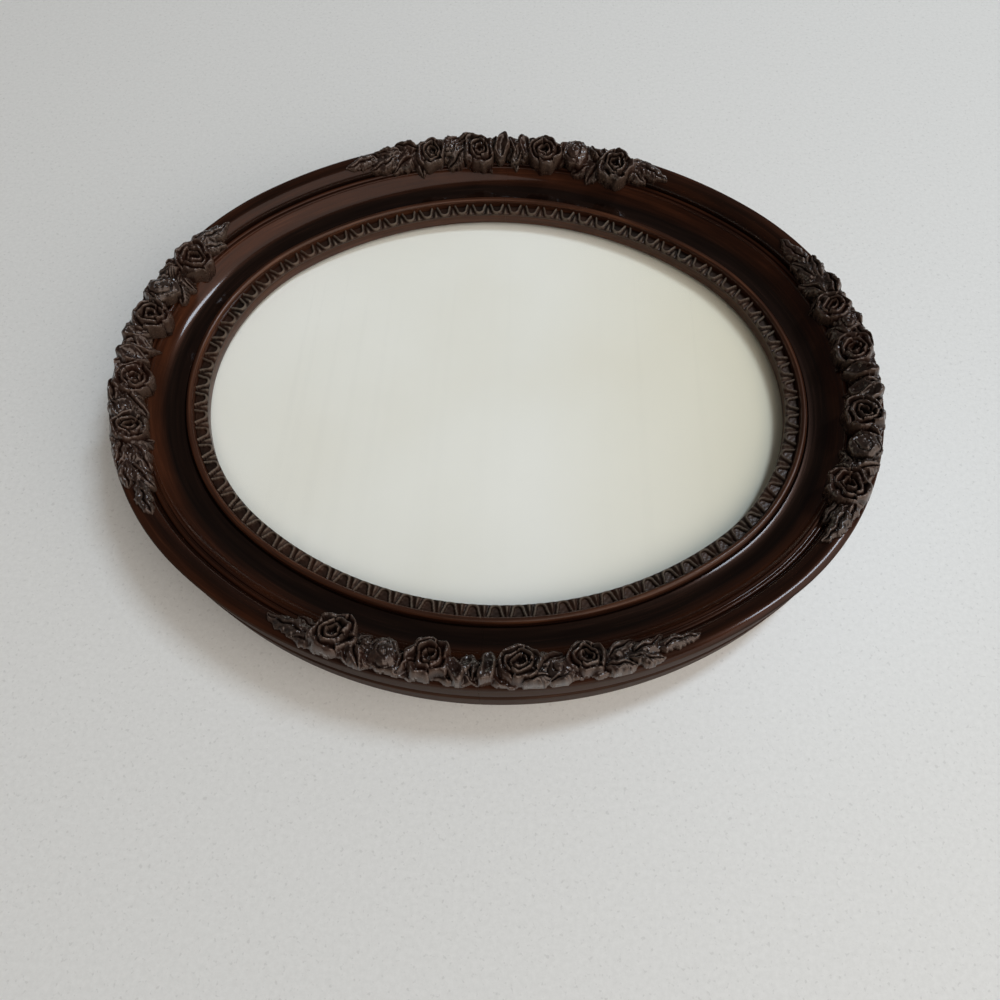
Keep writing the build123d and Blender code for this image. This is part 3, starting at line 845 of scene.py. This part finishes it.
# Share of the reddish wood that shows through the dark glaze, by length along the section in millimetres; the
# near nothing in the cove's inner hollow is painted shade
GLAZE_SHARES_AND_HOLLOW_SHADE = (
    (0.0, 0.3), (43.0, 0.1), (50.5, 0.0), (55.0, 0.85), (58.9, 1.0), (60.5, 0.45), (63.6, 0.8), (64.5, 0.1),
    (67.6, 0.25), (68.8, 0.6), (72.0, 0.2), (75.6, 0.7), (78.0, 0.5), (89.0, 0.9), (98.0, 0.7),
)
GLAZE_LENGTH = 100.0


def glaze_share_and_hollow_shade(tree):
    """How much of the reddish wood shows at a place on the moulding's section; none in the cove's hollow,
    which is painted shade.
    """
    place = ranged(tree, painted_value(tree, "across"), 0.0, GLAZE_LENGTH, 0.0, 1.0)
    stops = [(length / GLAZE_LENGTH, (share,) * 3) for length, share in GLAZE_SHARES_AND_HOLLOW_SHADE]
    return ramp(tree, place, *stops)


def moulding_lacquer_and_hollow_shade():
    """Very dark brown glaze over reddish stain, streaked along the run, with painted shade darkest in the
    cove's hollow.
    """
    material, tree, shader = new_material("moulding_lacquer_and_hollow_shade")
    streaks = noise(tree, along_the_run(tree, 22.0), 26.0, 5.0, 0.6)
    patches = noise(tree, object_place(tree), 14.0, 3.0)
    wear = ranged(tree, patches, 0.3, 0.62, 0.35, 1.15)
    # Painted shade: the share falls to nothing in the cove's hollow, so the hollow takes the darkest colour
    shown = worked_out(tree, "MULTIPLY", glaze_share_and_hollow_shade(tree), wear, clamp=True)
    dark = ramp(tree, streaks,
                (0.25, (0.002, 0.0012, 0.001)), (0.6, (0.006, 0.003, 0.002)), (0.8, (0.014, 0.006, 0.004)))
    warm = ramp(tree, streaks,
                (0.25, (0.015, 0.004, 0.0015)), (0.6, (0.046, 0.013, 0.005)), (0.8, (0.085, 0.026, 0.010)))
    tint(tree, shader, mix_colour(tree, shown, dark, warm), ranged(tree, streaks, 0.3, 0.7, 0.18, 0.30))
    set_levels(shader, {"IOR": 1.35, "Specular IOR Level": 0.2, "Specular Tint": (1.0, 0.42, 0.24, 1.0),
                        "Coat IOR": 1.4, "Coat Weight": 0.36, "Coat Roughness": 0.08})
    add_bump(tree, shader, streaks, 0.25, WOOD_BUMP)
    return material


def side_stain():
    """Dull brown stain of the side and back, without varnish."""
    material, tree, shader = new_material("side_stain")
    streaks = noise(tree, along_the_run(tree, 30.0), 26.0, 5.0, 0.6)
    colour = ramp(tree, streaks,
                  (0.25, (0.014, 0.006, 0.004)), (0.6, (0.046, 0.021, 0.012)), (0.8, (0.085, 0.042, 0.025)))
    tint(tree, shader, colour, ranged(tree, streaks, 0.3, 0.7, 0.50, 0.62))
    set_levels(shader, {"IOR": 1.3, "Specular IOR Level": 0.2})
    add_bump(tree, shader, streaks, 0.3, WOOD_BUMP)
    return material


def stain_side_and_back(moulding):
    """Gives the faces beside the band and behind the front the dull stain."""
    moulding.data.materials.append(side_stain())
    across = np.zeros(len(moulding.data.vertices))
    moulding.data.attributes["across"].data.foreach_get("value", across)
    dull = []
    for face in moulding.data.polygons:
        lengths = [across[index] for index in face.vertices]
        dull.append(min(lengths) >= SIDE_START or max(lengths) < FRONT_START)
    moulding.data.polygons.foreach_set("material_index", dull)


def bead_lacquer():
    """Reddish brown stain, rubbed through in fine lines along the run."""
    material, tree, shader = new_material("bead_lacquer")
    streaks = noise(tree, along_the_run(tree, 40.0), 30.0, 6.0, 0.65)
    colour = ramp(tree, streaks,
                  (0.25, (0.009, 0.004, 0.002)), (0.5, (0.036, 0.012, 0.006)),
                  (0.72, (0.095, 0.034, 0.015)), (0.9, (0.15, 0.068, 0.034)))
    tint(tree, shader, colour, 0.33)
    set_levels(shader, {"Specular IOR Level": 0.3, "Specular Tint": (1.0, 0.55, 0.36, 1.0),
                        "Coat Weight": 0.25, "Coat Roughness": 0.15})
    add_bump(tree, shader, streaks, 0.35, WOOD_BUMP)
    return material


def rubbed_and_shaded_compo(name, pit, body, high, roughness, gloss):
    """Cast composition, dark with painted shade in its hollows, rubbed lighter on its rims by wear and
    painted highlight, and redder in patches.
    """
    material, tree, shader = new_material(name)
    mottle = noise(tree, object_place(tree), 420.0, 5.0, 0.6)
    patches = noise(tree, object_place(tree), 70.0, 3.0, 0.5)
    shift = worked_out(tree, "MULTIPLY_ADD", mottle, 0.9, -0.45)
    total = worked_out(tree, "ADD", painted_value(tree, "rub_shade_and_highlight"), shift)
    level = ranged(tree, total, -0.8, 1.0, 0.0, 1.0)
    between = tuple(0.5 * (low + top) for low, top in zip(body, high))
    redder = tuple(part * more for part, more in zip(body, (2.6, 1.3, 0.9)))
    # Pit colour is painted shade in the hollows; high colour is wear and painted highlight on the rims
    tone = ramp(tree, level, (0.12, pit), (0.45, body), (0.68, between), (0.9, high))
    patched = mix_colour(tree, ranged(tree, patches, 0.35, 0.7, 0.0, 0.5), tone, redder)
    tint(tree, shader, patched, ranged(tree, mottle, 0.3, 0.7, roughness - 0.08, roughness + 0.12))
    set_levels(shader, {"Specular IOR Level": 0.35, "Specular Tint": (1.0, 0.66, 0.50, 1.0),
                        "Coat Weight": gloss, "Coat Roughness": 0.15})
    add_bump(tree, shader, mottle, 0.3, WOOD_BUMP)
    return material


def tongue_compo():
    """Dull composition of the tongue run."""
    # pit: painted shade in the hollows; high: wear and painted highlight on the rims
    pit, body, high = (0.002, 0.0016, 0.0012), (0.020, 0.0145, 0.011), (0.095, 0.077, 0.059)
    return rubbed_and_shaded_compo("tongue_compo_painted_light", pit, body, high, 0.46, 0.06)


def garland_compo():
    """Darker and glossier composition of the garlands."""
    # pit: painted shade in the hollows; high: wear and painted highlight on the rims
    pit, body, high = (0.003, 0.0018, 0.0014), (0.014, 0.0085, 0.0065), (0.075, 0.050, 0.037)
    return rubbed_and_shaded_compo("garland_compo_painted_light", pit, body, high, 0.28, 0.55)


def card_paper():
    """Ivory card, faintly mottled, with painted shade that turns it yellower and darker towards the right."""
    material, tree, shader = new_material("ivory_card_paper")
    broad = noise(tree, object_place(tree), 9.0, 3.0, 0.5)
    fine = noise(tree, object_place(tree), 900.0, 3.0, 0.6)
    # Painted shade: the card turns yellower and darker towards the right
    shade_to_right = ranged(tree, object_axes(tree)[0], 0.02, 0.12, 0.0, 0.75)
    base = ramp(tree, broad,
                (0.3, (0.890, 0.850, 0.745)), (0.5, (0.925, 0.895, 0.805)), (0.7, (0.955, 0.925, 0.845)))
    shaded_to_right = mix_colour(tree, shade_to_right, base, (0.84, 0.76, 0.55))
    specks = ranged(tree, fine, 0.3, 0.7, 0.0, 0.05)
    tint(tree, shader, mix_colour(tree, specks, shaded_to_right, (0.68, 0.64, 0.54)), 0.75)
    add_bump(tree, shader, fine, 0.1, CARD_BUMP)
    return material


def pane_glass():
    """Clear picture glass, faintly green and almost wholly see-through."""
    material, tree, shader = new_material("pane_glass")
    smear = noise(tree, object_place(tree), 18.0, 3.0, 0.5)
    tint(tree, shader, (0.86, 0.90, 0.86), ranged(tree, smear, 0.35, 0.7, 0.03, 0.09))
    set_levels(shader, {"Alpha": 0.05, "IOR": 1.5})
    return material


def back_hardboard():
    """Brown hardboard with pressed fibres."""
    material, tree, shader = new_material("back_hardboard")
    fibres = noise(tree, object_place(tree), 600.0, 6.0, 0.7)
    broad = noise(tree, object_place(tree), 25.0, 3.0, 0.5)
    colour = ramp(tree, fibres,
                  (0.3, (0.17, 0.095, 0.05)), (0.55, (0.27, 0.165, 0.09)), (0.75, (0.38, 0.25, 0.15)))
    darker = ranged(tree, broad, 0.3, 0.7, 0.0, 0.35)
    tint(tree, shader, mix_colour(tree, darker, colour, (0.20, 0.12, 0.065)), 0.62)
    add_bump(tree, shader, fibres, 0.4, WOOD_BUMP)
    return material


def bright_metal(name, low, high, roughness):
    """Plated steel with light scratches and dull patches."""
    material, tree, shader = new_material(name)
    dull = noise(tree, object_place(tree), 240.0, 4.0, 0.6)
    colour = ramp(tree, dull, (0.3, low), (0.7, high))
    tint(tree, shader, colour, ranged(tree, dull, 0.3, 0.7, roughness, roughness + 0.2))
    set_levels(shader, {"Metallic": 1.0})
    add_bump(tree, shader, dull, 0.15, METAL_BUMP)
    return material


def plain_key_wood():
    """Planed pale hardwood of the joint keys."""
    material, tree, shader = new_material("plain_key_wood")
    stretch = tree.nodes.new("ShaderNodeMapping")
    stretch.inputs["Scale"].default_value = (1.0, 8.0, 8.0)
    tree.links.new(object_place(tree), stretch.inputs["Vector"])
    grain = noise(tree, stretch.outputs[0], 120.0, 5.0, 0.6)
    colour = ramp(tree, grain, (0.3, (0.32, 0.20, 0.11)), (0.7, (0.50, 0.35, 0.21)))
    tint(tree, shader, colour, 0.6)
    add_bump(tree, shader, grain, 0.2, METAL_BUMP)
    return material


def speckled_top():
    """Pale warm grey worktop with fine speckles."""
    material, tree, shader = new_material("speckled_top")
    grains = noise(tree, object_place(tree), 520.0, 3.0, 0.7)
    flecks = noise(tree, object_place(tree), 620.0, 2.0, 0.5)
    base = ramp(tree, grains, (0.35, (0.775, 0.750, 0.712)), (0.65, (0.825, 0.800, 0.762)))
    specks = ranged(tree, flecks, 0.62, 0.70, 0.0, 0.5)
    tint(tree, shader, mix_colour(tree, specks, base, (0.60, 0.575, 0.54)), 0.45)
    return material


# Stage, light and camera

def floor():
    """Plain pale worktop under the frame."""
    bm = bmesh.new()
    bmesh.ops.create_grid(bm, x_segments=4, y_segments=4, size=3.0)
    top = finished(bm, "floor", 30)
    top.data.materials.append(speckled_top())


def soft_light(name, place, size, power, colour):
    """Soft oblong lamp at a place, turned to the frame."""
    lamp = bpy.data.lights.new(name, "AREA")
    lamp.shape = "RECTANGLE"
    lamp.size, lamp.size_y = size
    lamp.energy = power
    lamp.color = colour
    holder = bpy.data.objects.new(name, lamp)
    holder.location = place
    holder.rotation_euler = (-Vector(place)).to_track_quat("-Z", "Y").to_euler()
    bpy.context.scene.collection.objects.link(holder)


def studio():
    """Dim even surround that looks pale, a narrow window behind on the right and a broad lamp in front."""
    dim, pale = 0.12, 0.62
    world = bpy.data.worlds.new("surround")
    bpy.context.scene.world = world
    world.use_nodes = True
    tree = world.node_tree
    surround = tree.nodes["Background"]
    surround.inputs["Color"].default_value = (1.0, 0.98, 0.95, 1.0)
    seen = tree.nodes.new("ShaderNodeLightPath").outputs["Is Camera Ray"]
    tree.links.new(ranged(tree, seen, 0.0, 1.0, dim, pale), surround.inputs["Strength"])
    soft_light("window", (0.835, 0.60, 1.71), (0.20, 0.50), 14.2, (0.68, 0.84, 1.0))
    soft_light("broad", (2.30, -1.70, 2.50), (5.2, 5.2), 152.0, (1.0, 0.955, 0.90))


def camera():
    """Camera at the photograph's place: a 27 mm lens above the near edge, looking down and away."""
    lens = bpy.data.cameras.new("camera")
    lens.lens = 27.0
    lens.sensor_width = 36.0
    lens.clip_start = 0.01
    place = Vector((9.51, -180.96, 290.8)) * MM
    forward = Vector((-0.01803, 0.4180, -0.9083)).normalized()
    right = forward.cross(Vector((0, 0, 1))).normalized()
    turn = Matrix((right, right.cross(forward), -forward)).transposed().to_4x4()
    holder = bpy.data.objects.new("camera", lens)
    holder.matrix_world = Matrix.Translation(place) @ turn
    bpy.context.scene.collection.objects.link(holder)
    bpy.context.scene.camera = holder


def dress(piece, material, replaced, body="frame"):
    """Gives a piece its material and slot, sets it on its body and hides the node that it stands for."""
    piece.data.materials.append(material)
    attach(piece, body)
    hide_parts(replaced)


def coat(name, material):
    """Gives a solid that stays its material."""
    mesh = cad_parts[name].data
    mesh.materials.clear()
    mesh.materials.append(material)


def build_front():
    """The moulding, the slip, the tongue run and the garlands."""
    moulding = quarter_lengths("moulding_dressed", moulding_profile())
    dress(moulding, moulding_lacquer_and_hollow_shade(), "moulding_lengths")
    stain_side_and_back(moulding)
    slip = quarter_lengths("slip_dressed", slip_profile())
    dress(slip, bead_lacquer(), "slip_lengths")
    dress(tongue_run_piece(), tongue_compo(), "tongue_runs")
    garland_compo_with_painted_light = garland_compo()
    for side, heading in (("right", 0), ("top", 90), ("left", 180), ("bottom", 270)):
        dress(garland_piece(side, heading), garland_compo_with_painted_light, f"garland_{side}")


def build_back():
    """The turn buttons, the hangers and the screws."""
    button_finish = bright_metal("button_zinc", (0.40, 0.39, 0.37), (0.58, 0.57, 0.55), 0.34)
    for index in range(1, 5):
        button = f"turn_button_{index}"
        dress(turn_button_piece(index), button_finish, button, body=button)
    hanger_finish = bright_metal("hanger_nickel", (0.50, 0.48, 0.44), (0.68, 0.66, 0.62), 0.24)
    for side in ("left", "right"):
        ring = f"hanger_ring_{side}"
        dress(strap_piece(side), hanger_finish, f"hanger_plate_{side}")
        dress(ring_piece(side), hanger_finish, ring, body=ring)
    screw_finish = bright_metal("screw_zinc", (0.36, 0.35, 0.33), (0.55, 0.54, 0.52), 0.38)
    strap_face = LEDGE_Z - STRAP_THICKNESS
    screws = (("button_screws", BUTTON_HEADINGS, BUTTON_REACH, BUTTON_Z[0]),
              ("hanger_screws", HANGER_HEADINGS.values(), HANGER_SCREW_REACH, strap_face))
    for name, headings, reach, face in screws:
        piece = screws_piece(f"{name}_dressed", headings, reach, face - HEAD_GAP)
        dress(piece, screw_finish, name)


def build():
    """Makes every visible piece, the stage, the light and the camera."""
    build_front()
    coat("glass_pane", pane_glass())
    coat("ivory_card", card_paper())
    coat("backing_board", back_hardboard())
    coat("joint_keys", plain_key_wood())
    build_back()
    floor()
    studio()
    camera()


def main():
    """Builds the scene and sets the standard view transform."""
    build()
    bpy.context.scene.view_settings.view_transform = "Standard"


main()
